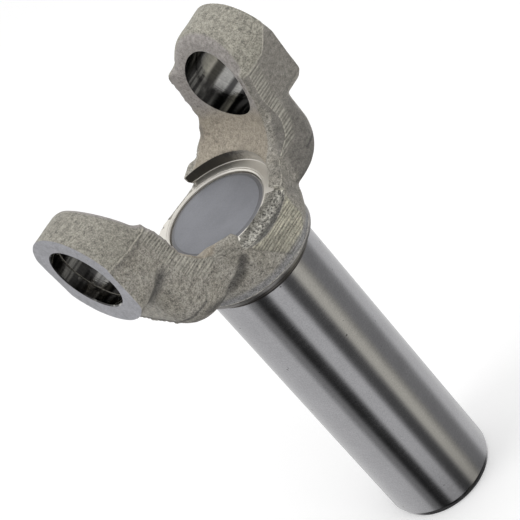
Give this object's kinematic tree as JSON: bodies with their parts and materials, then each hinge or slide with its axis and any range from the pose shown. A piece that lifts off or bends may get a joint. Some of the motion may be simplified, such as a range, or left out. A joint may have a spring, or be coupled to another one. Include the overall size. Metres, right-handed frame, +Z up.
{
  "type": "forged yoke",
  "caption": "Forged slip yoke of a drive shaft: bored ears, a short hub with a sealing plug, and a long ground barrel with an internal spline.",
  "frame": {"origin": "centre of the barrel's open end face, which is the bottom of the part", "axes": "+Z up the barrel towards the ears, X along the two cross bores, Y across the ears"},
  "size_m": [0.1018, 0.0508, 0.2025],
  "materials": {
    "yoke": "blasted forging with machined faces and a ground barrel",
    "plug": "matte pressed sheet"
  },
  "bodies": {
    "root": {"yoke": "yoke", "plug": "plug"}
  },
  "joints": []
}
